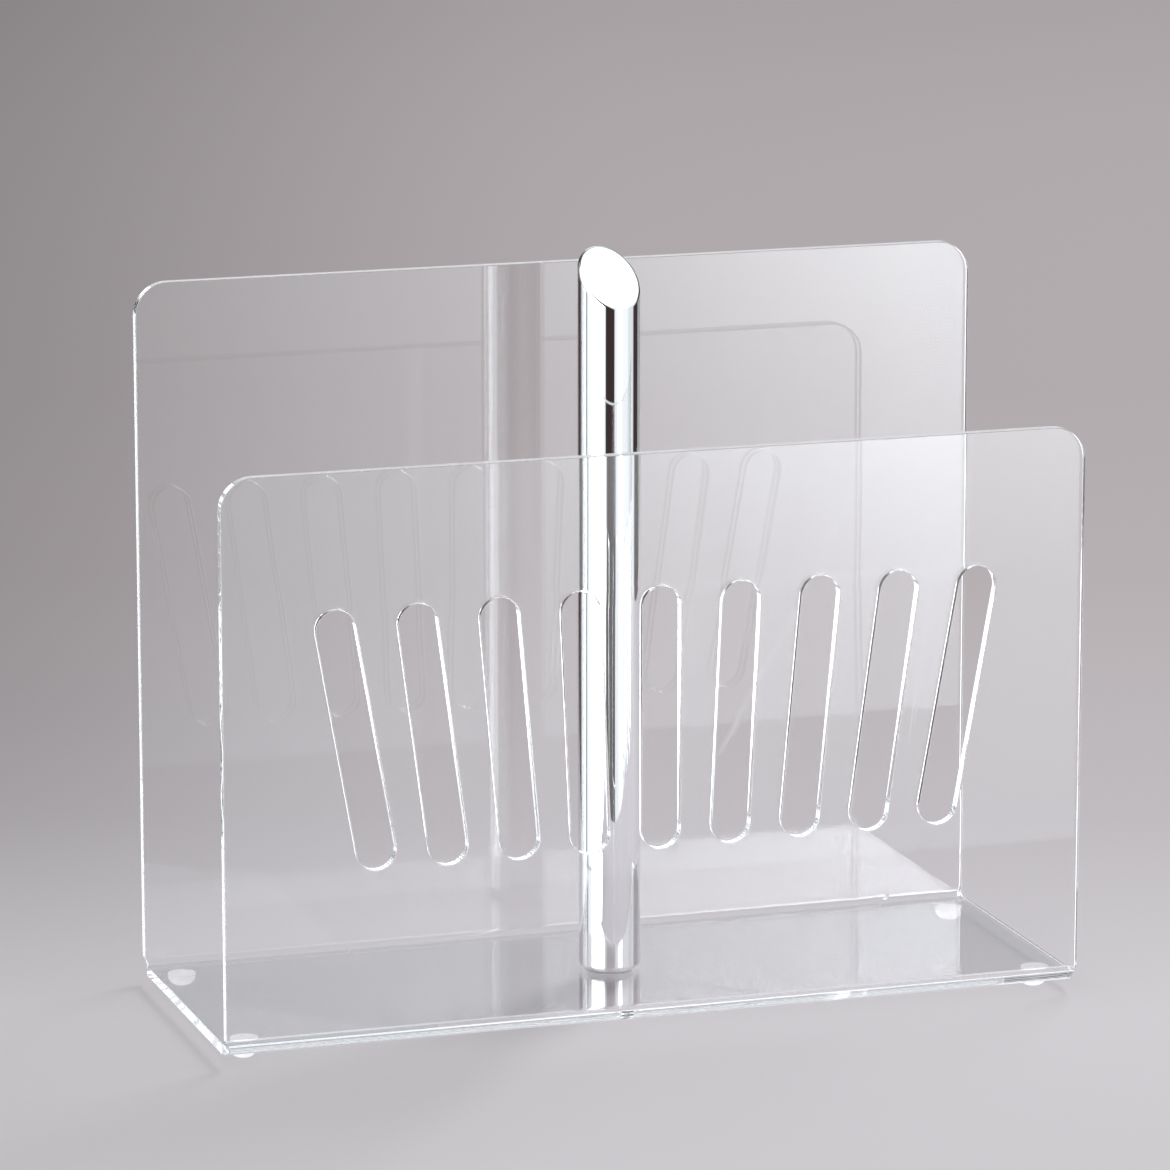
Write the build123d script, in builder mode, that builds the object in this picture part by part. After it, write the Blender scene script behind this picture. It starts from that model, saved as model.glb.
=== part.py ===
"""A magazine rack: one clear sheet folded into a U, with a chromed post in the middle as its handle.

X runs along the rack, Y from the front panel to the back panel, Z up. The origin is on the floor,
under the middle of the base.
"""

import os
from math import cos, radians, sin, tan

from build123d import *

os.makedirs("parts", exist_ok=True)

# Driving dimensions, in millimetres and degrees

# Folded sheet: the heights count from the underside of its base, the depth over both outer faces
sheet_width = 400
sheet_depth = 150
sheet_thickness = 5
front_height = 258
back_height = 320
bend_inner_radius = 3
top_corner_radius = 15

# Slots through the front panel, fanned like standing pages
slot_width = 18
slot_pitch = 35
slot_lean_step = 2.5
slot_margin_above = 60
slot_margin_below = 79
slot_margin_beside = 55

# Post: a tube with a slanted upper end that a flush plate closes
post_diameter = 28
post_length = 332
post_wall = 1.5
post_cut_angle = 43
post_turn = 8
cap_thickness = 2.5
cap_rim_bevel = 1.2

# Plug that closes the lower end of the tube and stands on the base
plug_collar_height = 6
plug_corner_radius = 3
plug_lead_in = 1
plug_roof = 4
plug_clearance = 0.05

# Soft disc under the plug
disc_thickness = 0.5

# Countersunk screw from below, with a right-angled cone, so that its overhang is also its depth
screw_diameter = 6
screw_length = 16
screw_head_overhang = 3
screw_tip_chamfer = 0.8
screw_socket_width = 4
screw_socket_depth = 2.2
screw_sink = 0.2
screw_hole_clearance = 0.3
screw_seat_clearance = 0.1
thread_clearance = 0.1
thread_spare_depth = 2

# Feet: a straight rim, then a taper to a flat tip
foot_diameter = 12.7
foot_height = 5
foot_rim_height = 0.8
foot_tip_diameter = 7
foot_inset_end = 13
foot_inset_face = 21

# Heights and places that follow

base_underside = foot_height
base_top = base_underside + sheet_thickness
front_top = base_underside + front_height
back_top = base_underside + back_height

plug_bottom = base_top + disc_thickness
tube_bottom = plug_bottom + plug_collar_height
post_top = plug_bottom + post_length
post_radius = post_diameter / 2
bore_radius = post_radius - post_wall
cap_axis_height = post_top - post_radius * tan(radians(post_cut_angle))

screw_radius = screw_diameter / 2
screw_hole_radius = screw_radius + screw_hole_clearance
screw_head_radius = screw_radius + screw_head_overhang
screw_head_face = base_underside + screw_sink
screw_tip = screw_head_face + screw_length
thread_end = screw_tip + thread_spare_depth
plug_top = thread_end + plug_roof

cut_slope = radians(post_cut_angle)
cut_heading = radians(post_turn)
cap_plane = Plane(
    origin=(0, 0, cap_axis_height),
    x_dir=(cos(cut_heading), sin(cut_heading), 0),
    z_dir=(sin(cut_heading) * sin(cut_slope), -cos(cut_heading) * sin(cut_slope), cos(cut_slope)),
)
cap_seat_plane = cap_plane.offset(-cap_thickness)


# Folded sheet: the fold's middle line, thickened, drawn out along the rack and cut
middle_depth = sheet_depth - sheet_thickness
middle_height = base_underside + sheet_thickness / 2
slot_height = front_height - slot_margin_above - slot_margin_below
slot_middle = base_underside + slot_margin_below + slot_height / 2
slots_each_side = int((sheet_width / 2 - slot_margin_beside) / slot_pitch)
countersink_radius = screw_head_radius + screw_sink + screw_seat_clearance

with BuildPart() as bent_sheet:
    with BuildSketch(Plane.YZ):
        with BuildLine():
            FilletPolyline(
                (-middle_depth / 2, front_top),
                (-middle_depth / 2, middle_height),
                (middle_depth / 2, middle_height),
                (middle_depth / 2, back_top),
                radius=bend_inner_radius + sheet_thickness / 2,
            )
        trace(line_width=sheet_thickness)
    extrude(amount=sheet_width / 2, both=True)

    top_faces = bent_sheet.faces().filter_by(Plane.XY).sort_by(Axis.Z)[-2:]
    fillet(top_faces.edges().filter_by(Axis.Y), radius=top_corner_radius)

    with BuildSketch(Plane.XZ.offset(sheet_depth / 2)):
        for place in range(-slots_each_side, slots_each_side + 1):
            with Locations((place * slot_pitch, slot_middle)):
                SlotOverall(slot_height, slot_width, rotation=90 - place * slot_lean_step)
    extrude(amount=-sheet_thickness, mode=Mode.SUBTRACT)

    with Locations(Plane(origin=(0, 0, base_underside), z_dir=(0, 0, -1))):
        CounterSinkHole(
            radius=screw_hole_radius,
            counter_sink_radius=countersink_radius,
            depth=sheet_thickness,
            counter_sink_angle=90,
        )

bent_sheet.part.label = "bent_sheet"
export_step(bent_sheet.part, "parts/bent_sheet.step")


# Post tube: standing on the plug's collar, cut on the slant under the cap
with BuildPart() as post_tube:
    with BuildSketch(Plane.XY.offset(tube_bottom)):
        Circle(post_radius)
        Circle(bore_radius, mode=Mode.SUBTRACT)
    extrude(amount=post_top - tube_bottom)
    split(bisect_by=cap_seat_plane, keep=Keep.BOTTOM)

post_tube.part.label = "post_tube"
export_step(post_tube.part, "parts/post_tube.step")


# Post cap: a slanted slice of the post's full section, with its rim bevelled
with BuildPart() as post_cap:
    with BuildSketch(Plane.XY.offset(tube_bottom)):
        Circle(post_radius)
    extrude(amount=post_top - tube_bottom)
    split(bisect_by=cap_plane, keep=Keep.BOTTOM)
    split(bisect_by=cap_seat_plane, keep=Keep.TOP)
    cap_face = post_cap.faces().filter_by(GeomType.PLANE).sort_by(Axis.Z)[-1]
    chamfer(cap_face.edges(), length=cap_rim_bevel)

post_cap.part.label = "post_cap"
export_step(post_cap.part, "parts/post_cap.step")


# Post foot: a collar as wide as the tube, and a spigot up its bore that takes the screw
with BuildPart() as post_foot:
    with BuildSketch(Plane.XY.offset(plug_bottom)):
        Circle(post_radius)
    extrude(amount=plug_collar_height)
    with BuildSketch(Plane.XY.offset(tube_bottom)):
        Circle(bore_radius - plug_clearance)
    extrude(amount=plug_top - tube_bottom)
    chamfer(post_foot.edges().filter_by(GeomType.CIRCLE).sort_by(Axis.Z)[-1], length=plug_lead_in)
    fillet(post_foot.edges().filter_by(GeomType.CIRCLE).sort_by(Axis.Z)[0], radius=plug_corner_radius)
    with BuildSketch(Plane.XY.offset(plug_bottom)):
        Circle(screw_radius + thread_clearance)
    extrude(amount=thread_end - plug_bottom, mode=Mode.SUBTRACT)

post_foot.part.label = "post_foot"
export_step(post_foot.part, "parts/post_foot.step")


# Seat disc: as wide as the flat underside of the plug
with BuildPart() as seat_disc:
    with BuildSketch(Plane.XY.offset(base_top)):
        Circle(post_radius - plug_corner_radius)
        Circle(screw_hole_radius, mode=Mode.SUBTRACT)
    extrude(amount=disc_thickness)

seat_disc.part.label = "seat_disc"
export_step(seat_disc.part, "parts/seat_disc.step")


# Fixing screw: turned about its axis, with a hexagon socket in the head
with BuildPart() as fixing_screw:
    with BuildSketch(Plane.XZ):
        with BuildLine():
            Polyline(
                (0, screw_head_face),
                (screw_head_radius, screw_head_face),
                (screw_radius, screw_head_face + screw_head_overhang),
                (screw_radius, screw_tip - screw_tip_chamfer),
                (screw_radius - screw_tip_chamfer, screw_tip),
                (0, screw_tip),
                close=True,
            )
        make_face()
    revolve(axis=Axis.Z)
    with BuildSketch(Plane.XY.offset(screw_head_face)):
        RegularPolygon(screw_socket_width / 2, side_count=6, major_radius=False)
    extrude(amount=screw_socket_depth, mode=Mode.SUBTRACT)

fixing_screw.part.label = "fixing_screw"
export_step(fixing_screw.part, "parts/fixing_screw.step")


# Feet: one turned bumper under each corner of the base
foot_radius = foot_diameter / 2
foot_tip_radius = foot_tip_diameter / 2
foot_corners = {
    "foot_front_left": (-1, -1),
    "foot_front_right": (1, -1),
    "foot_back_left": (-1, 1),
    "foot_back_right": (1, 1),
}

for foot_name, (side, face) in foot_corners.items():
    foot_x = side * (sheet_width / 2 - foot_inset_end)
    foot_y = face * (sheet_depth / 2 - foot_inset_face)
    with BuildPart() as foot:
        with BuildSketch(Plane(origin=(foot_x, foot_y, 0), x_dir=(1, 0, 0), z_dir=(0, -1, 0))):
            with BuildLine():
                Polyline(
                    (0, 0),
                    (foot_tip_radius, 0),
                    (foot_radius, foot_height - foot_rim_height),
                    (foot_radius, foot_height),
                    (0, foot_height),
                    close=True,
                )
            make_face()
        revolve(axis=Axis((foot_x, foot_y, 0), (0, 0, 1)))
    foot.part.label = foot_name
    export_step(foot.part, f"parts/{foot_name}.step")
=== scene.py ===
# %% [markdown]
# # A clear magazine rack with a chromed post
#
# The rack is one sheet of clear acrylic, folded twice into a U, on four soft bumpers. A chromed post
# in the middle is its handle. The measured solids are loaded first, and every piece made here takes
# its place and size from them, so that nothing has to be fitted afterwards.

# %% Load the measured solids
from math import atan2, cos, pi, radians, sin, tan

import bmesh
import bpy
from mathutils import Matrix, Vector


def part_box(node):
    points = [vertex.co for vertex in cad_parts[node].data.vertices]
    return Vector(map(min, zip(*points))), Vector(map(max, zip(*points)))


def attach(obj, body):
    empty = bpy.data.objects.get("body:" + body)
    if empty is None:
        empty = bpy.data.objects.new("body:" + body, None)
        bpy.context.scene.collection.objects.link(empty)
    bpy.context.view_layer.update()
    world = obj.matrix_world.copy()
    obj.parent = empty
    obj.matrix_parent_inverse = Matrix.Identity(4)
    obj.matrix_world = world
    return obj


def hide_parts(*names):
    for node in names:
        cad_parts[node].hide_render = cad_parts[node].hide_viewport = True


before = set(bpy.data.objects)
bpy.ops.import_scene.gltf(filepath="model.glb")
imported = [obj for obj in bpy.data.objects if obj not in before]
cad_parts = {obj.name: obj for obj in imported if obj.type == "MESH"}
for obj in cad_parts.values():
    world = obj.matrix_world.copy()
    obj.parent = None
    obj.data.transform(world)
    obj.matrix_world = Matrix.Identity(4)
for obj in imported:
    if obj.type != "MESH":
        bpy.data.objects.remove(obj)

scene = bpy.context.scene
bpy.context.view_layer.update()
millimetre = 0.001

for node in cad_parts:
    low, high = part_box(node)
    print(node, [round(side / millimetre, 2) for side in high - low], "mm")

# %% [markdown]
# ## The camera
#
# The picture was taken with a long lens from the front left, a little above the rack, so its edges
# stay almost parallel. The angles and the distance were worked out from the corners of the sheet. A
# camera is placed most plainly by the point that it looks at, two angles and a distance.

# %% Place the camera
camera_bearing = radians(-18.06)
camera_height_angle = radians(12.19)
camera_distance = 2.8206
camera_aim = Vector((-0.0112, 0, 0.1890))
camera_lens = 192.69

towards_camera = Vector((
    sin(camera_bearing) * cos(camera_height_angle),
    -cos(camera_bearing) * cos(camera_height_angle),
    sin(camera_height_angle),
))
camera = bpy.data.objects.new("camera", bpy.data.cameras.new("camera"))
camera.data.lens = camera_lens
camera.location = camera_aim + towards_camera * camera_distance
camera.rotation_euler = (-towards_camera).to_track_quat("-Z", "Y").to_euler()
scene.collection.objects.link(camera)
scene.camera = camera
scene.view_settings.view_transform = "Standard"
print("camera at", [round(c, 3) for c in camera.location])

# %% [markdown]
# ## Writing finishes as expressions
#
# A finish is a tree of nodes, and most of its nodes only add and multiply. So one small class stands
# for a socket, and arithmetic on it adds the Math nodes. A second class holds a tree and makes every
# other node: its settings are set first, because some of them change which sockets there are.

# %% Define the socket and the tree
class Socket:
    """One output of a shader tree. Arithmetic on it adds Math nodes."""

    def __init__(self, tree, output):
        self.tree = tree
        self.output = output

    def math(self, operation, first, second):
        return self.tree.node("ShaderNodeMath", {"operation": operation}, {0: first, 1: second})

    def __add__(self, other):
        return self.math("ADD", self, other)

    def __radd__(self, other):
        return self.math("ADD", other, self)

    def __sub__(self, other):
        return self.math("SUBTRACT", self, other)

    def __rsub__(self, other):
        return self.math("SUBTRACT", other, self)

    def __mul__(self, other):
        return self.math("MULTIPLY", self, other)

    def __rmul__(self, other):
        return self.math("MULTIPLY", other, self)

    def __truediv__(self, other):
        return self.math("DIVIDE", self, other)

    def __gt__(self, other):
        return self.math("GREATER_THAN", self, other)

    def __lt__(self, other):
        return self.math("LESS_THAN", self, other)


class Finish:
    """The node tree of a material or of the world."""

    def __init__(self, owner):
        owner.use_nodes = True
        self.owner = owner
        self.nodes = owner.node_tree.nodes
        self.links = owner.node_tree.links
        self.nodes.clear()

    def node(self, kind, settings=None, sockets=None, out=0):
        made = self.nodes.new(kind)
        for name, value in (settings or {}).items():
            if name == "stops":
                self.set_stops(made.color_ramp, value)
            else:
                setattr(made, name, value)
        for name, value in (sockets or {}).items():
            self.feed(made.inputs[name], value)
        return Socket(self, made.outputs[out]) if made.outputs else None

    def feed(self, target, value):
        if isinstance(value, Socket):
            self.links.new(value.output, target)
        elif target.type == "RGBA":
            target.default_value = (*value, 1)
        else:
            target.default_value = value

    def set_stops(self, ramp, stops):
        while len(ramp.elements) < len(stops):
            ramp.elements.new(1)
        for element, (place, level) in zip(ramp.elements, stops):
            element.position = place
            element.color = (level, level, level, 1)


def new_finish(name):
    return Finish(bpy.data.materials.new(name))


def show(finish, shader):
    """Makes the shader the material's surface and gives the material back."""
    finish.node("ShaderNodeOutputMaterial", sockets={"Surface": shader})
    return finish.owner


print("finishes can be written")

# %% [markdown]
# ## The floor
#
# The rack stands on a table with seamless pale paper. The light on it falls off into grey behind the
# rack and to the left, and that falloff is painted into the paper's colour. One large disc is enough
# for the camera. Its colour follows the depth behind the rack and the way to the side. A painted
# picture could do the same, but a few tones are easier to read and change.

# %% Choose the paper's tones and its painted falloff
floor_radius = 14
floor_sides = 96
paper_near = (0.990, 0.975, 1.010)
paper_far = (1.030, 0.970, 0.990)
# Painted falloff of the light: the paper's level drops with the depth behind the rack.
painted_falloff_by_depth = [
    (-0.25, 0.755),
    (-0.05, 0.782),
    (0.12, 0.700),
    (0.32, 0.600),
    (0.90, 0.497),
    (1.50, 0.451),
    (3.60, 0.405),
]
depth_start = -0.5
depth_span = 4.5
sight = (-sin(camera_bearing), cos(camera_bearing))
sight_origin = 2.8
# Painted shade: the paper is dimmed towards the left, more so further behind the rack.
side_dim_start = 0.01
side_dim_end = -0.12
side_dimmest = 0.67
side_dim_near_share = 0.30
side_dim_near = -0.2
side_dim_full = 0.6


def ease(tree, value, start, end):
    """Goes smoothly from 0 at the start to 1 at the end."""
    return tree.node(
        "ShaderNodeMapRange",
        {"interpolation_type": "SMOOTHSTEP"},
        {"Value": value, "From Min": start, "From Max": end},
    )


def paper_colour_with_painted_falloff(paper, x, y):
    """The paper's colour at a place on the floor, in metres, with the light's falloff painted in."""
    depth_behind = x * sight[0] + y * sight[1]
    sideways = (x * sight[1] - y * sight[0]) / (depth_behind + sight_origin)
    stops = [((depth - depth_start) / depth_span, level) for depth, level in painted_falloff_by_depth]
    along = (depth_behind - depth_start) / depth_span
    level = paper.node("ShaderNodeValToRGB", {"stops": stops}, {"Fac": along})
    dim = ease(paper, sideways, side_dim_start, side_dim_end) * (1 - side_dimmest)
    further = ease(paper, depth_behind, side_dim_near, side_dim_full)
    behind = side_dim_near_share + (1 - side_dim_near_share) * further
    tint = paper.node(
        "ShaderNodeMix",
        {"data_type": "RGBA"},
        {0: ease(paper, depth_behind, 0, 1), 6: paper_near, 7: paper_far},
        out=2,
    )
    return paper.node(
        "ShaderNodeVectorMath",
        {"operation": "SCALE"},
        {0: tint, "Scale": level * (1 - dim * behind)},
    )


print("the paper has", len(painted_falloff_by_depth), "tones")

# %% [markdown]
# ## What mirrors see of the floor
#
# A mirror sees more than the camera: it also shows where the table ends, some way in front of the rack
# and close beside its left end, where a corner is missing. So rays that come from a reflection meet the
# paper only on the table, and beyond its edges they go on to the studio. Light that has run along inside
# the sheet passes the paper altogether, so that the sheet's edges shine down to their lower ends. The
# underside is clear, so that the rack can be looked at from below.

# %% Tell the rays apart
guided_mirrors = 6


def mirrored(tree):
    """1 for a ray that has met mirrors and no matt surface."""
    mirrors = tree.node("ShaderNodeLightPath", out="Glossy Depth")
    matt = tree.node("ShaderNodeLightPath", out="Diffuse Depth")
    return (mirrors > 0.5) * (matt < 0.5)


def guided(tree):
    """1 for a ray that has run along inside the sheet, from side to side."""
    return tree.node("ShaderNodeLightPath", out="Glossy Depth") > guided_mirrors


print("a ray counts as guided after", guided_mirrors, "mirrors")

# %% Lay the floor
table_left = -0.21
table_notch = -0.10
table_notch_end = 0.06
table_right = 0.85
table_front = -0.335


def paper_finish():
    paper = new_finish("seamless_paper")
    place = paper.node("ShaderNodeNewGeometry", out="Position")
    x = paper.node("ShaderNodeSeparateXYZ", sockets={0: place}, out="X")
    y = paper.node("ShaderNodeSeparateXYZ", sockets={0: place}, out="Y")
    face = paper.node(
        "ShaderNodeBsdfPrincipled",
        sockets={"Base Color": paper_colour_with_painted_falloff(paper, x, y), "Roughness": 0.9, "Specular IOR Level": 0.0},
    )
    below = paper.node("ShaderNodeNewGeometry", out="Backfacing")
    in_notch = (x < table_notch) * (x < y) * (y < table_notch_end)
    on_table = (x > table_left) * (1 - in_notch) * (x < table_right) * (y > table_front)
    seen_in_mirrors = on_table * (1 - guided(paper))
    shown = (1 - below) * (1 - mirrored(paper) * (1 - seen_in_mirrors))
    clear = paper.node("ShaderNodeBsdfTransparent")
    return show(paper, paper.node("ShaderNodeMixShader", sockets={0: shown, 1: clear, 2: face}))


def link_mesh(name, work, materials):
    """Turns a finished bmesh into a linked object with smooth faces."""
    mesh = bpy.data.meshes.new(name)
    for face in work.faces:
        face.smooth = True
    work.to_mesh(mesh)
    work.free()
    for material in materials:
        mesh.materials.append(material)
    made = bpy.data.objects.new(name, mesh)
    scene.collection.objects.link(made)
    return made


floor_work = bmesh.new()
bmesh.ops.create_circle(floor_work, cap_ends=True, segments=floor_sides, radius=floor_radius)
floor = link_mesh("floor", floor_work, [paper_finish()])
print("floor radius", floor_radius, "m")

# %% [markdown]
# ## The light
#
# A big softbox hangs behind the rack on its right, and a grey world fills the shadows. Chrome and clear
# acrylic show little of their own, only what stands round them, so the studio is painted on the world
# as mirrors see it: a white wall on the left, the dark room beside the camera, a bright window at the
# front right, a small patch of lit ceiling and a pale screen behind. A ring of lamps could do the same,
# but tones by bearing and by height are easier to set. Only rays that come from a reflection see them.
# Straight rays, also through the acrylic, see plain grey, and the floor is lit by plain grey too.

# %% Hang the softbox
softbox_size = 2.0
softbox_power = 120
softbox_distance = 6
softbox_direction = Vector((0.52, 0.41, 0.75)).normalized()

softbox = bpy.data.objects.new("softbox", bpy.data.lights.new("softbox", "AREA"))
softbox.data.shape = "SQUARE"
softbox.data.size = softbox_size
softbox.data.energy = softbox_power
softbox.location = camera_aim + softbox_direction * softbox_distance
softbox.rotation_euler = softbox_direction.to_track_quat("Z", "Y").to_euler()
softbox.visible_camera = False
softbox.visible_glossy = False
softbox.visible_transmission = False
scene.collection.objects.link(softbox)
print("softbox at", [round(c, 2) for c in softbox.location])

# %% Paint the wall and the window
wall_light = 5.5
wall_by_bearing = [
    (-180, 0.055),
    (-165, 0.011),
    (-139, 0.011),
    (-136, 0.065),
    (-108, 0.065),
    (-104, 0.180),
    (-90, 0.200),
    (-86, 1.000),
    (-40, 1.000),
    (-36, 0.180),
    (-31, 0.180),
    (-29, 0.007),
    (2, 0.007),
    (4, 0.170),
    (24, 0.170),
    (30, 0.190),
    (55, 0.190),
    (60, 0.153),
    (82, 0.146),
    (86, 0.008),
    (112, 0.008),
    (120, 0.055),
    (180, 0.055),
]
window_light = 14.0
window_by_bearing = [
    (9, 0),
    (14, 0.04),
    (17.5, 0.17),
    (19.6, 0.48),
    (22, 0.80),
    (23.2, 0.65),
    (27, 0.65),
    (30, 0.05),
    (34, 0),
]
window_by_height = [
    (-25, 0.05),
    (-15, 0.09),
    (-13.7, 0.15),
    (-12.3, 0.23),
    (-11, 0.35),
    (-9, 0.60),
    (-5, 0.90),
    (0, 1.00),
    (17, 1.00),
    (19.5, 0.08),
    (34, 0.01),
]


def by_bearing(tree, turn, levels):
    """A level for each bearing: 0 degrees lies in front of the rack and 90 on its right."""
    stops = [(bearing / 360 + 0.5, level) for bearing, level in levels]
    return tree.node("ShaderNodeValToRGB", {"stops": stops}, {"Fac": turn})


def by_height(tree, rise, levels):
    """A level for each angle above the horizon."""
    stops = [(sin(radians(angle)) / 2 + 0.5, level) for angle, level in levels]
    return tree.node("ShaderNodeValToRGB", {"stops": stops}, {"Fac": rise})


def wall_and_window(world, turn, rise):
    window_share = by_bearing(world, turn, window_by_bearing)
    window = by_height(world, rise, window_by_height) * window_light
    wall = by_bearing(world, turn, wall_by_bearing) * wall_light
    return window * window_share + wall * (1 - window_share)


print("the wall has", len(wall_by_bearing), "bearings and the window", len(window_by_bearing))

# %% Add the ceiling, the screen behind and the light from below
back_light = 1.5
back_by_bearing = [(140, 0), (150, 1), (176, 1), (180, 0)]
back_by_height = [(20, 0), (23, 1), (45, 1), (50, 0)]
ceiling_light = 1.3
ceiling_direction = (0.446, -0.088, 0.889)
ceiling_half_angle = radians(8)
below_light = 0.5
below_by_height = [(-40, 1), (-25, 0)]


def around_rack(world, heading, turn, rise):
    """All that a plain reflection sees."""
    back = by_bearing(world, turn, back_by_bearing) * by_height(world, rise, back_by_height)
    overhead = world.node(
        "ShaderNodeVectorMath",
        {"operation": "DOT_PRODUCT"},
        {0: heading, 1: ceiling_direction},
        out="Value",
    )
    ceiling = (overhead > cos(ceiling_half_angle)) * ceiling_light
    below = by_height(world, rise, below_by_height)
    above = wall_and_window(world, turn, rise) + ceiling + back * back_light
    return above * (1 - below) + below * below_light


print("ceiling patch of", round(2 * ceiling_half_angle / radians(1)), "degrees")

# %% [markdown]
# ## The light inside the sheet
#
# Light that enters a clear sheet by one edge runs along inside it, from side to side, and leaves by
# another edge. That makes the edges of acrylic white. Such a ray has met many mirrors on its way, and by
# then its direction says little, so it ends in an even white, and in grey only behind the rack.

# %% Join the studio to the world
guided_light = 2.0
guided_behind = 0.50
behind_by_bearing = [(-180, 1), (-165, 1), (-150, 0), (118, 0), (130, 1), (180, 1)]
behind_by_height = [(-5, 0), (0, 1), (50, 1), (58, 0)]
world_grey = (0.610, 0.592, 0.603)
studio_tint = (0.950, 1.000, 1.035)
room_tint = (1.250, 0.800, 0.800)
room_level = 0.02
studio_level = 0.25
light_bounces = 128
clear_bounces = 32


def leaving_sheet(world, turn, rise):
    behind = by_bearing(world, turn, behind_by_bearing) * by_height(world, rise, behind_by_height)
    return guided_light * (1 - behind) + guided_behind * behind


def studio_world():
    world = Finish(bpy.data.worlds.new("studio"))
    heading = world.node("ShaderNodeTexCoord", out="Generated")
    x, y, z = [world.node("ShaderNodeSeparateXYZ", sockets={0: heading}, out=axis) for axis in "XYZ"]
    turn = x.math("ARCTAN2", x, 0 - y) / (2 * pi) + 0.5
    rise = z / 2 + 0.5
    inside = guided(world)
    outside = around_rack(world, heading, turn, rise) * (1 - inside)
    level = outside + leaving_sheet(world, turn, rise) * inside
    tint = world.node(
        "ShaderNodeMix",
        {"data_type": "RGBA"},
        {0: ease(world, level, room_level, studio_level), 6: room_tint, 7: studio_tint},
        out=2,
    )
    shining = world.node("ShaderNodeVectorMath", {"operation": "SCALE"}, {0: tint, "Scale": level})
    seen = world.node(
        "ShaderNodeMix",
        {"data_type": "RGBA"},
        {0: mirrored(world), 6: world_grey, 7: shining},
        out=2,
    )
    sky = world.node("ShaderNodeBackground", sockets={"Color": seen})
    world.node("ShaderNodeOutputWorld", sockets={"Surface": sky})
    return world.owner


scene.world = studio_world()
scene.cycles.max_bounces = light_bounces
scene.cycles.glossy_bounces = light_bounces
scene.cycles.transmission_bounces = light_bounces
scene.cycles.transparent_max_bounces = clear_bounces
scene.cycles.blur_glossy = 0
print("light may bounce", light_bounces, "times")

# %% [markdown]
# ## The folded sheet
#
# The real sheet starts as a flat blank: its outline and its slots are cut, every edge gets a small
# arris, and then it is heated along two lines and folded. Cutting an extruded U with booleans would
# also work, but the arris would then have to follow every slot. Here the blank is a filled curve,
# which bevels all its edges by itself. The mesh from it is cut into narrow strips where it bends, and
# each point is then carried round the fold.

# %% Measure the sheet
sheet_low, sheet_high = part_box("bent_sheet")
disc_low, disc_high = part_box("seat_disc")
sheet_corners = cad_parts["bent_sheet"].data.vertices

width = sheet_high.x - sheet_low.x
depth = sheet_high.y - sheet_low.y
underside = sheet_low.z
thickness = disc_low.z - underside
back_top = sheet_high.z
front_top = max(corner.co.z for corner in sheet_corners if corner.co.y < 0)
bend_inner_radius = 3 * millimetre
bend_outer_radius = bend_inner_radius + thickness
bend_middle_radius = bend_inner_radius + thickness / 2

front_run = front_top - underside - bend_outer_radius
base_run = depth - 2 * bend_outer_radius
back_run = back_top - underside - bend_outer_radius
bend_run = bend_middle_radius * pi / 2
bend_starts = (front_run, front_run + bend_run + base_run)
blank_length = front_run + base_run + back_run + 2 * bend_run
print("blank", round(width / millimetre, 1), "x", round(blank_length / millimetre, 1), "mm")

# %% Draw the blank with its slots
arris = 0.35 * millimetre
arris_steps = 2
corner_radius = 15 * millimetre
corner_steps = 24
slot_width = 18 * millimetre
slot_pitch = 35 * millimetre
slot_lean_step = radians(2.5)
slot_margin_above = 60 * millimetre
slot_margin_below = 79 * millimetre
slots_each_side = 4
screw_hole_radius = 3.3 * millimetre
hole_steps = 48

slot_height = front_top - underside - slot_margin_above - slot_margin_below
slot_middle = slot_margin_above + slot_height / 2
hole_middle = Vector((0, front_run + bend_run + base_run / 2))


def arc(middle, radius, start, end, steps):
    """Points from one angle to another round a middle point, both ends included."""
    angles = [start + (end - start) * step / steps for step in range(steps + 1)]
    return [(middle[0] + radius * cos(a), middle[1] + radius * sin(a)) for a in angles]


def rounded_blank():
    far = width / 2 - corner_radius
    ends = (corner_radius, blank_length - corner_radius)
    middles = [(far, ends[1]), (-far, ends[1]), (-far, ends[0]), (far, ends[0])]
    outline = []
    for quarter, middle in enumerate(middles):
        start = quarter * pi / 2
        outline += arc(middle, corner_radius, start, start + pi / 2, corner_steps)
    return outline


def leaning_slot(place):
    """A slot with round ends, leaning away from the middle like a page of an open book."""
    lean = place * slot_lean_step
    reach = (slot_height - slot_width) / 2
    along = Vector((sin(lean), -cos(lean)))
    middle = Vector((place * slot_pitch, slot_middle))
    radius = slot_width / 2
    upper = arc(middle + along * reach, radius, lean - pi, lean, corner_steps)
    lower = arc(middle - along * reach, radius, lean, lean + pi, corner_steps)
    return upper + lower


def screw_hole():
    return arc(hole_middle, screw_hole_radius, 0, 2 * pi * (1 - 1 / hole_steps), hole_steps - 1)


blank_curve = bpy.data.curves.new("blank", "CURVE")
blank_curve.dimensions = "2D"
blank_curve.fill_mode = "BOTH"
blank_curve.extrude = thickness / 2 - arris
blank_curve.bevel_depth = arris
blank_curve.bevel_resolution = arris_steps
blank_curve.offset = -arris
cuts = [leaning_slot(place) for place in range(-slots_each_side, slots_each_side + 1)]
for outline in [rounded_blank(), screw_hole(), *cuts]:
    spline = blank_curve.splines.new("POLY")
    spline.points.add(len(outline) - 1)
    for point, (across, along) in zip(spline.points, outline):
        point.co = (across, along, 0, 1)
    spline.use_cyclic_u = True
print(len(cuts), "slots of", round(slot_height / millimetre, 1), "mm")

# %% Cut the blank into strips where it bends
bend_steps = 24
weld_distance = 1e-6
broad_face = 0.999

blank = bpy.data.objects.new("blank", blank_curve)
scene.collection.objects.link(blank)
flat_mesh = bpy.data.meshes.new_from_object(blank)
bpy.data.objects.remove(blank)

sheet_work = bmesh.new()
sheet_work.from_mesh(flat_mesh)
bmesh.ops.remove_doubles(sheet_work, verts=sheet_work.verts, dist=weld_distance)


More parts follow.
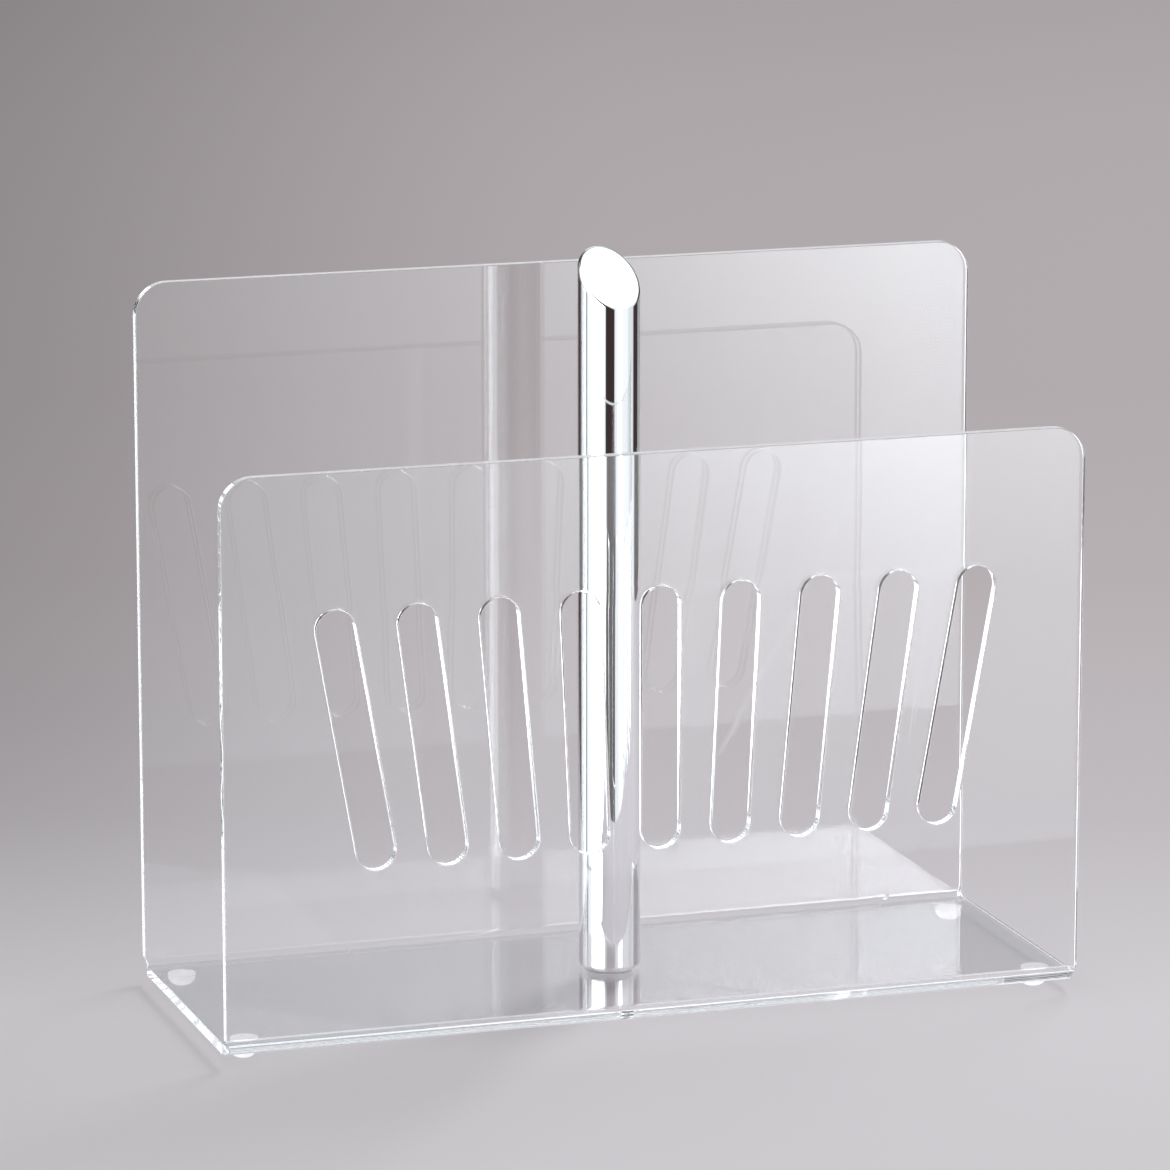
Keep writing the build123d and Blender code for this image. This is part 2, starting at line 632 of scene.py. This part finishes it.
def cut_across(work, along):
    bmesh.ops.bisect_plane(
        work,
        geom=[*work.verts, *work.edges, *work.faces],
        plane_co=(0, along, 0),
        plane_no=(0, 1, 0),
        dist=weld_distance,
    )


for bend_start in bend_starts:
    for step in range(bend_steps + 1):
        cut_across(sheet_work, bend_start + bend_run * step / bend_steps)


def slants_in_bend(edge):
    """True for an edge inside a bend's broad faces that isn't one of the cuts across."""
    ends = [vert.co for vert in edge.verts]
    middle = (ends[0].y + ends[1].y) / 2
    in_bend = any(start < middle < start + bend_run for start in bend_starts)
    in_face = all(abs(face.normal.z) > broad_face for face in edge.link_faces)
    return in_bend and in_face and abs(ends[0].y - ends[1].y) > weld_distance


bmesh.ops.recalc_face_normals(sheet_work, faces=sheet_work.faces)
slanting = [edge for edge in sheet_work.edges if slants_in_bend(edge)]
bmesh.ops.dissolve_edges(sheet_work, edges=slanting)
open_edges = [edge for edge in sheet_work.edges if not edge.is_manifold]
print(len(sheet_work.faces), "faces,", len(open_edges), "open edges")

# %% Sink the screw hole and mark the edges
countersink_radius = 6.3 * millimetre
sanded_depth = 1.8 * millimetre

cone_depth = countersink_radius - screw_hole_radius
cone_level = cone_depth - thickness / 2


def from_hole(vert):
    return vert.co.xy - hole_middle


wall_faces = [
    face for face in sheet_work.faces
    if all(from_hole(vert).length < countersink_radius for vert in face.verts)
]
wall_parts = {part for face in wall_faces for part in (*face.verts, *face.edges, face)}
bmesh.ops.bisect_plane(
    sheet_work,
    geom=list(wall_parts),
    plane_co=(0, 0, cone_level),
    plane_no=(0, 0, 1),
)
for face in sheet_work.faces:
    middle = face.calc_center_median()
    beside_top = min(middle.y, blank_length - middle.y) < sanded_depth
    if abs(face.normal.z) > broad_face:
        face.material_index = 0
    else:
        face.material_index = 2 if beside_top else 1
for vert in sheet_work.verts:
    outward = from_hole(vert)
    if outward.length < countersink_radius and vert.co.z < cone_level:
        vert.co.xy = hole_middle + outward.normalized() * (outward.length + cone_level - vert.co.z)
print("countersink", round(cone_depth / millimetre, 2), "mm deep")

# %% Fold the blank
end_draw = 1.8 * millimetre


def draw_in(across, along, inward):
    """The outside of a bend is stretched, so its ends shrink in a little."""
    if abs(across) < width / 2 - thickness:
        return across
    turns = [(along - start) / bend_run for start in bend_starts]
    share = sum(sin(pi * turn) for turn in turns if 0 < turn < 1)
    outside = 0.5 - inward / thickness
    return across * (1 - share * outside ** 2 * end_draw / (width / 2))


def fold(across, along, inward):
    """Carries a point of the blank to its place: along counts from the front panel's top edge."""
    half = depth / 2
    middle = thickness / 2
    bend_height = underside + bend_outer_radius
    reach = bend_middle_radius - inward
    if along <= front_run:
        return (across, -half + middle + inward, front_top - along)
    along -= front_run
    if along <= bend_run:
        turn = along / bend_middle_radius
        return (across, -half + bend_outer_radius - reach * cos(turn), bend_height - reach * sin(turn))
    along -= bend_run
    if along <= base_run:
        return (across, -half + bend_outer_radius + along, underside + middle + inward)
    along -= base_run
    if along <= bend_run:
        turn = along / bend_middle_radius
        return (across, half - bend_outer_radius + reach * sin(turn), bend_height - reach * cos(turn))
    return (across, half - middle - inward, bend_height + along - bend_run)


for vert in sheet_work.verts:
    vert.co.x = draw_in(*vert.co)
    vert.co = fold(*vert.co)
bmesh.ops.recalc_face_normals(sheet_work, faces=sheet_work.faces)
folded = [vert.co for vert in sheet_work.verts]
for axis in range(3):
    reach = [corner[axis] for corner in folded]
    print("XYZ"[axis], round(min(reach) / millimetre, 2), round(max(reach) / millimetre, 2))

# %% [markdown]
# ## The acrylic
#
# Cast acrylic is clearer than glass and bends light almost as much. Its faces are moulded against
# glass and keep a trace of waviness. Its ends and slots are flame polished, so they are a little softer
# and carry faint marks. The two top edges are only sanded, so they scatter most of the light. One clear
# material could serve everywhere, but then the edges would look as perfect as the faces, so there are
# three. Lamps would reach the floor through a clear solid only by chance, so they pass it straight,
# hardly dimmed by the faces and clearly dimmed by the edges, which draw a thin shadow.

# %% Mix the clear faces
acrylic_index = 1.49
face_shade = (0.985, 0.985, 0.985)


def let_light_through(finish, surface, shade):
    """Lets lamps and the light between matt things pass straight, so that the floor stays bright."""
    lamp = finish.node("ShaderNodeLightPath", out="Is Shadow Ray")
    bounce = finish.node("ShaderNodeLightPath", out="Is Diffuse Ray")
    clear = finish.node("ShaderNodeBsdfTransparent", sockets={"Color": shade})
    return finish.node("ShaderNodeMixShader", sockets={0: lamp + bounce, 1: surface, 2: clear})


def acrylic_face():
    acrylic = new_finish("clear_acrylic")
    place = acrylic.node("ShaderNodeTexCoord", out="Object")
    wave = acrylic.node("ShaderNodeTexNoise", sockets={"Vector": place, "Scale": 9.0, "Detail": 1.0})
    wipe = acrylic.node("ShaderNodeTexNoise", sockets={"Vector": place, "Scale": 40.0, "Detail": 3.0})
    relief = acrylic.node(
        "ShaderNodeBump",
        sockets={"Height": wave, "Strength": 0.02, "Distance": 0.002},
    )
    surface = acrylic.node(
        "ShaderNodeBsdfPrincipled",
        sockets={
            "Base Color": (0.990, 0.988, 0.992),
            "Roughness": wipe * 0.012,
            "IOR": acrylic_index,
            "Transmission Weight": 1.0,
            "Normal": relief,
        },
    )
    return show(acrylic, let_light_through(acrylic, surface, face_shade))


print("acrylic bends light by an index of", acrylic_index)

# %% Mix the polished and the sanded edges
edge_tint = (0.99, 0.995, 0.995)
edge_shade = (0.60, 0.60, 0.60)
frost_colour = (0.82, 0.82, 0.83)
# Seen from inside the sheet the frost has a darker colour: painted shade that dims the light leaving by
# the top edges.
shaded_frost_inside = (0.45, 0.45, 0.46)
frost_share = 0.65
frost_more_inside = 0.3


def polished_edge():
    edge = new_finish("polished_edge")
    place = edge.node("ShaderNodeTexCoord", out="Object")
    marks = edge.node("ShaderNodeTexNoise", sockets={"Vector": place, "Scale": 300.0, "Detail": 2.0})
    clear = edge.node(
        "ShaderNodeBsdfPrincipled",
        sockets={
            "Base Color": edge_tint,
            "Roughness": 0.01 + marks * 0.03,
            "IOR": acrylic_index,
            "Transmission Weight": 1.0,
        },
    )
    return show(edge, let_light_through(edge, clear, edge_shade))


def sanded_edge():
    edge = new_finish("sanded_edge")
    place = edge.node("ShaderNodeTexCoord", out="Object")
    marks = edge.node("ShaderNodeTexNoise", sockets={"Vector": place, "Scale": 500.0, "Detail": 3.0})
    clear = edge.node(
        "ShaderNodeBsdfPrincipled",
        sockets={
            "Base Color": edge_tint,
            "Roughness": 0.15 + marks * 0.2,
            "IOR": acrylic_index,
            "Transmission Weight": 1.0,
        },
    )
    inside = edge.node("ShaderNodeNewGeometry", out="Backfacing")
    # From inside the sheet the frost takes its darker colour, a painted shade.
    colour = edge.node(
        "ShaderNodeMix",
        {"data_type": "RGBA"},
        {0: inside, 6: frost_colour, 7: shaded_frost_inside},
        out=2,
    )
    back = edge.node("ShaderNodeBsdfDiffuse", sockets={"Color": colour})
    through = edge.node("ShaderNodeBsdfTranslucent", sockets={"Color": colour})
    frost = edge.node("ShaderNodeMixShader", sockets={0: 0.5, 1: back, 2: through})
    frosted = frost_share + marks * 0.2 + inside * frost_more_inside
    return show(edge, edge.node("ShaderNodeMixShader", sockets={0: frosted, 1: clear, 2: frost}))


print("sanded edges scatter at least", frost_share, "of the light")

# %% Let the sheet stand for its solid
sharp_angle = radians(35)


def settle(piece, node):
    """Evens the shading, then lets the piece stand for its solid."""
    piece.data.set_sharp_from_angle(angle=sharp_angle)
    weighting = piece.modifiers.new("even_normals", "WEIGHTED_NORMAL")
    weighting.keep_sharp = True
    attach(piece, "root")
    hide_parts(node)
    print(piece.name, len(piece.data.polygons), "faces, stands for", node)


sheet = link_mesh("folded_sheet", sheet_work, [acrylic_face(), polished_edge(), sanded_edge()])
settle(sheet, "bent_sheet")

# %% [markdown]
# ## The post
#
# The post is a chromed tube. A plate closes its slanted upper end, welded on and polished flush, and
# a turned plug closes its foot. Chrome is a mirror, so a facet or an uneven normal shows at once.
# Every piece is therefore a skin over rings of points, fine enough to stay round.

# %% Measure the post
tube_low, tube_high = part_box("post_tube")
plug_low, plug_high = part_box("post_foot")
screw_low, screw_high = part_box("fixing_screw")

post_radius = (tube_high.x - tube_low.x) / 2
bore_radius = post_radius - 1.5 * millimetre
cut_slope = radians(43)
cut_heading = radians(8)
cap_thickness = 2.5 * millimetre
cap_rim_radius = 1.2 * millimetre

seat_height = tube_high.z - post_radius * tan(cut_slope)
cap_height = seat_height + cap_thickness / cos(cut_slope)
cap_normal = Vector((
    sin(cut_heading) * sin(cut_slope),
    -cos(cut_heading) * sin(cut_slope),
    cos(cut_slope),
))
print("slanted face", round(cap_height / millimetre, 2), "mm up the post's axis")

# %% Skin rings of points
ring_steps = 144


def skin(rings, closed=False):
    """Joins each ring to the next. A ring of one point closes an end."""
    work = bmesh.new()
    rows = [[work.verts.new(point) for point in ring] for ring in rings]
    if closed:
        rows.append(rows[0])
    for row, following in zip(rows, rows[1:]):
        for step in range(max(len(row), len(following))):
            corners = [
                row[step % len(row)],
                row[(step + 1) % len(row)],
                following[(step + 1) % len(following)],
                following[step % len(following)],
            ]
            work.faces.new(dict.fromkeys(corners))
    bmesh.ops.recalc_face_normals(work, faces=work.faces)
    return work


def directions(steps=ring_steps):
    angles = [2 * pi * step / steps for step in range(steps)]
    return [Vector((cos(angle), sin(angle), 0)) for angle in angles]


def turned_rings(profile, steps=ring_steps):
    """Rings for a lathe: each (radius, height) of the profile goes once round the axis."""
    rings = []
    for radius, height in profile:
        around = directions(steps) if radius else [Vector()]
        rings.append([direction * radius + Vector((0, 0, height)) for direction in around])
    return rings


def slanted_ring(radius, axis_height):
    """A ring of the post's section on a plane parallel to its slanted face."""
    ring = []
    for direction in directions():
        fall = direction.dot(cap_normal) / cap_normal.z * radius
        ring.append(direction * radius + Vector((0, 0, axis_height - fall)))
    return ring


print("rings of", ring_steps, "points")

# %% Make the tube, the cap and the plug
rim_steps = 10
plug_corner_radius = 3 * millimetre
plug_corner_steps = 12
plug_lead_in = 1 * millimetre
plug_clearance = 0.05 * millimetre
thread_clearance = 0.1 * millimetre
thread_spare_depth = 2 * millimetre
screw_radius = 3 * millimetre


def rolled_rim():
    """Rings of the cap's rounded rim: a ball rolls inside the wall, under the slanted face."""
    rings = [[] for step in range(rim_steps + 1)]
    for direction in directions():
        inside = post_radius - cap_rim_radius
        fall = direction.dot(cap_normal) / cap_normal.z * inside
        drop = fall + cap_rim_radius / cap_normal.z
        ball = direction * inside + Vector((0, 0, cap_height - drop))
        for step, ring in enumerate(rings):
            ring.append(ball + direction.slerp(cap_normal, step / rim_steps) * cap_rim_radius)
    return rings


def plug_profile():
    spigot_radius = bore_radius - plug_clearance
    thread_radius = screw_radius + thread_clearance
    thread_end = screw_high.z + thread_spare_depth
    corner = (post_radius - plug_corner_radius, plug_low.z + plug_corner_radius)
    return [
        (0, thread_end),
        (thread_radius, thread_end),
        (thread_radius, plug_low.z),
        *arc(corner, plug_corner_radius, -pi / 2, 0, plug_corner_steps),
        (post_radius, tube_low.z),
        (spigot_radius, tube_low.z),
        (spigot_radius, plug_high.z - plug_lead_in),
        (spigot_radius - plug_lead_in, plug_high.z),
        (0, plug_high.z),
    ]


tube_foot, tube_foot_inside = turned_rings([(post_radius, tube_low.z), (bore_radius, tube_low.z)])
tube_rings = [
    tube_foot,
    slanted_ring(post_radius, seat_height),
    slanted_ring(bore_radius, seat_height),
    tube_foot_inside,
]
cap_rings = [slanted_ring(post_radius, seat_height), *rolled_rim()]
cap_work = skin(cap_rings)
open_rims = bmesh.ops.holes_fill(cap_work, edges=[edge for edge in cap_work.edges if edge.is_boundary])
bmesh.ops.recalc_face_normals(cap_work, faces=cap_work.faces)
print(len(open_rims["faces"]), "flat faces close the cap")

# %% [markdown]
# ## The chrome
#
# Decorative chrome is a thin bright layer over polished nickel: it mirrors almost everything, a trace
# cooler than silver. One even roughness would give a mirror too, but a breath of haze and the faint
# lines of polishing keep it from looking too perfect.

# %% Plate the post
def chrome_finish():
    chrome = new_finish("polished_chrome")
    place = chrome.node("ShaderNodeTexCoord", out="Object")
    haze = chrome.node("ShaderNodeTexNoise", sockets={"Vector": place, "Scale": 35.0, "Detail": 4.0})
    rubbed = chrome.node("ShaderNodeMapping", sockets={"Vector": place, "Scale": (1, 1, 0.02)})
    lines = chrome.node("ShaderNodeTexNoise", sockets={"Vector": rubbed, "Scale": 900.0, "Detail": 2.0})
    relief = chrome.node("ShaderNodeBump", sockets={"Height": lines, "Strength": 0.01, "Distance": 0.0005})
    surface = chrome.node(
        "ShaderNodeBsdfPrincipled",
        sockets={
            "Base Color": (0.93, 0.935, 0.945),
            "Metallic": 1.0,
            "Roughness": 0.015 + haze * 0.03,
            "Normal": relief,
        },
    )
    return show(chrome, surface)


chrome = chrome_finish()
settle(link_mesh("chromed_tube", skin(tube_rings, closed=True), [chrome]), "post_tube")
settle(link_mesh("chromed_cap", cap_work, [chrome]), "post_cap")
settle(link_mesh("chromed_plug", skin(turned_rings(plug_profile())), [chrome]), "post_foot")

# %% [markdown]
# ## The disc and the screw
#
# A thin soft disc keeps the plug off the acrylic, and one countersunk screw from below holds the post.
# Its thread is hidden in the plug, but it is there: each ring's radius swings with the angle and the
# height, so the crest climbs one pitch in a turn. The Screw modifier could wind a thread as well, but
# with rings it runs out neatly at both ends.

# %% Make the disc
disc_lift = 0.02 * millimetre
disc_edge_radius = 0.15 * millimetre
disc_edge_steps = 4
disc_radius = (disc_high.x - disc_low.x) / 2


def disc_profile():
    base = disc_low.z + disc_lift
    edge = disc_radius - disc_edge_radius
    return [
        (screw_hole_radius, disc_high.z),
        (screw_hole_radius, base),
        *arc((edge, base + disc_edge_radius), disc_edge_radius, -pi / 2, 0, disc_edge_steps),
        *arc((edge, disc_high.z - disc_edge_radius), disc_edge_radius, 0, pi / 2, disc_edge_steps),
    ]


def soft_disc_finish():
    soft = new_finish("soft_disc")
    place = soft.node("ShaderNodeTexCoord", out="Object")
    cloud = soft.node("ShaderNodeTexNoise", sockets={"Vector": place, "Scale": 400.0, "Detail": 3.0})
    colour = soft.node(
        "ShaderNodeMix",
        {"data_type": "RGBA"},
        {0: cloud, 6: (0.62, 0.60, 0.60), 7: (0.74, 0.73, 0.73)},
        out=2,
    )
    surface = soft.node(
        "ShaderNodeBsdfPrincipled",
        sockets={
            "Base Color": colour,
            "Roughness": 0.35 + cloud * 0.2,
            "Transmission Weight": 0.5,
            "IOR": 1.5,
        },
    )
    return show(soft, surface)


disc_work = skin(turned_rings(disc_profile()), closed=True)
settle(link_mesh("soft_disc", disc_work, [soft_disc_finish()]), "seat_disc")

# %% Make the screw
thread_pitch = 1 * millimetre
thread_depth = 0.6 * millimetre
thread_rows_per_turn = 10
screw_steps = 48
socket_half_width = 2 * millimetre
socket_depth = 2.2 * millimetre
head_radius = (screw_high.x - screw_low.x) / 2
head_overhang = head_radius - screw_radius
tip_chamfer = 0.8 * millimetre


def hexagon_ring(height):
    ring = []
    for step, direction in enumerate(directions(screw_steps)):
        from_flat = (2 * pi * step / screw_steps) % (pi / 3) - pi / 6
        ring.append(direction * socket_half_width / cos(from_flat) + Vector((0, 0, height)))
    return ring


def thread_ring(height, share):
    """One ring of the shank. The share runs from a plain ring to the full depth of the thread."""
    ring = []
    for step, direction in enumerate(directions(screw_steps)):
        climb = (height / thread_pitch - step / screw_steps) % 1
        groove = thread_depth * abs(2 * climb - 1) * share
        ring.append(direction * (screw_radius - groove) + Vector((0, 0, height)))
    return ring


shank_start = screw_low.z + head_overhang
shank_end = screw_high.z - tip_chamfer
shank_rows = round((shank_end - shank_start) / thread_pitch * thread_rows_per_turn)
shank = []
for row in range(shank_rows + 1):
    share = min(1, 2 * row / thread_rows_per_turn, 2 * (shank_rows - row) / thread_rows_per_turn)
    shank.append(thread_ring(shank_start + (shank_end - shank_start) * row / shank_rows, share))
socket_floor = screw_low.z + socket_depth
head_face = turned_rings([(head_radius, screw_low.z)], screw_steps)
tip = turned_rings([(screw_radius - tip_chamfer, screw_high.z), (0, screw_high.z)], screw_steps)
screw_rings = [
    [Vector((0, 0, socket_floor))],
    hexagon_ring(socket_floor),
    hexagon_ring(screw_low.z),
    *head_face,
    *shank,
    *tip,
]


def screw_finish():
    steel = new_finish("screw_steel")
    place = steel.node("ShaderNodeTexCoord", out="Object")
    grain = steel.node("ShaderNodeTexNoise", sockets={"Vector": place, "Scale": 700.0, "Detail": 4.0})
    surface = steel.node(
        "ShaderNodeBsdfPrincipled",
        sockets={
            "Base Color": (0.62, 0.62, 0.64),
            "Metallic": 1.0,
            "Roughness": 0.22 + grain * 0.2,
        },
    )
    return show(steel, surface)


settle(link_mesh("fixing_screw_part", skin(screw_rings), [screw_finish()]), "fixing_screw")

# %% [markdown]
# ## The bumpers
#
# Each foot is a moulded bumper of soft clear polymer with an adhesive back: a dome with a short
# straight rim and a flat tip. It is turned like the plug. A hair's breadth is left under the sheet,
# because two clear solids that share a face confuse the light. Light that runs inside the sheet also
# leaks out through the bumpers, so they are brighter than what is round them. A path from the camera
# seldom finds that way, so the milk in them has a colour above 1 instead.

# %% Make the bumpers
bumper_lift = 0.02 * millimetre
bumper_rim_height = 0.8 * millimetre
bumper_tip_radius = 3.5 * millimetre
bumper_steps = 72
dome_steps = 14
# A colour above 1: a painted glow that stands in for the light leaking from the sheet.
glowing_milk_colour = (1.50, 1.51, 1.53)
milk_share = 0.70
bumper_index = 1.48
bumper_shade = (1.0, 1.0, 1.0)


def bumper_profile(radius, height):
    """A short rim, then an arc that leaves it upright and ends at the flat tip."""
    fall = height - bumper_rim_height
    taper = radius - bumper_tip_radius
    bow = (taper ** 2 + fall ** 2) / (2 * taper)
    end = atan2(-fall, bow - taper)
    return [
        (0, height - bumper_lift),
        (radius, height - bumper_lift),
        *arc((radius - bow, fall), bow, 0, end, dome_steps),
        (0, 0),
    ]


def bumper_finish():
    clear = new_finish("clear_bumper")
    place = clear.node("ShaderNodeTexCoord", out="Object")
    cloud = clear.node("ShaderNodeTexNoise", sockets={"Vector": place, "Scale": 250.0, "Detail": 3.0})
    gel = clear.node(
        "ShaderNodeBsdfPrincipled",
        sockets={
            "Base Color": (0.97, 0.98, 0.99),
            "Roughness": 0.08 + cloud * 0.12,
            "Transmission Weight": 1.0,
            "IOR": bumper_index,
        },
    )
    back = clear.node("ShaderNodeBsdfDiffuse", sockets={"Color": glowing_milk_colour})
    through = clear.node("ShaderNodeBsdfTranslucent", sockets={"Color": glowing_milk_colour})
    milk = clear.node("ShaderNodeMixShader", sockets={0: 0.5, 1: back, 2: through})
    mixed = clear.node("ShaderNodeMixShader", sockets={0: milk_share + cloud * 0.3, 1: gel, 2: milk})
    return show(clear, let_light_through(clear, mixed, bumper_shade))


bumper_material = bumper_finish()
for corner in ("front_left", "front_right", "back_left", "back_right"):
    bumper_low, bumper_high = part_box(f"foot_{corner}")
    size = bumper_high - bumper_low
    bumper_work = skin(turned_rings(bumper_profile(size.x / 2, size.z), bumper_steps))
    middle = (bumper_low + bumper_high) / 2
    bmesh.ops.translate(bumper_work, verts=bumper_work.verts, vec=(middle.x, middle.y, bumper_low.z))
    settle(link_mesh(f"bumper_{corner}", bumper_work, [bumper_material]), f"foot_{corner}")
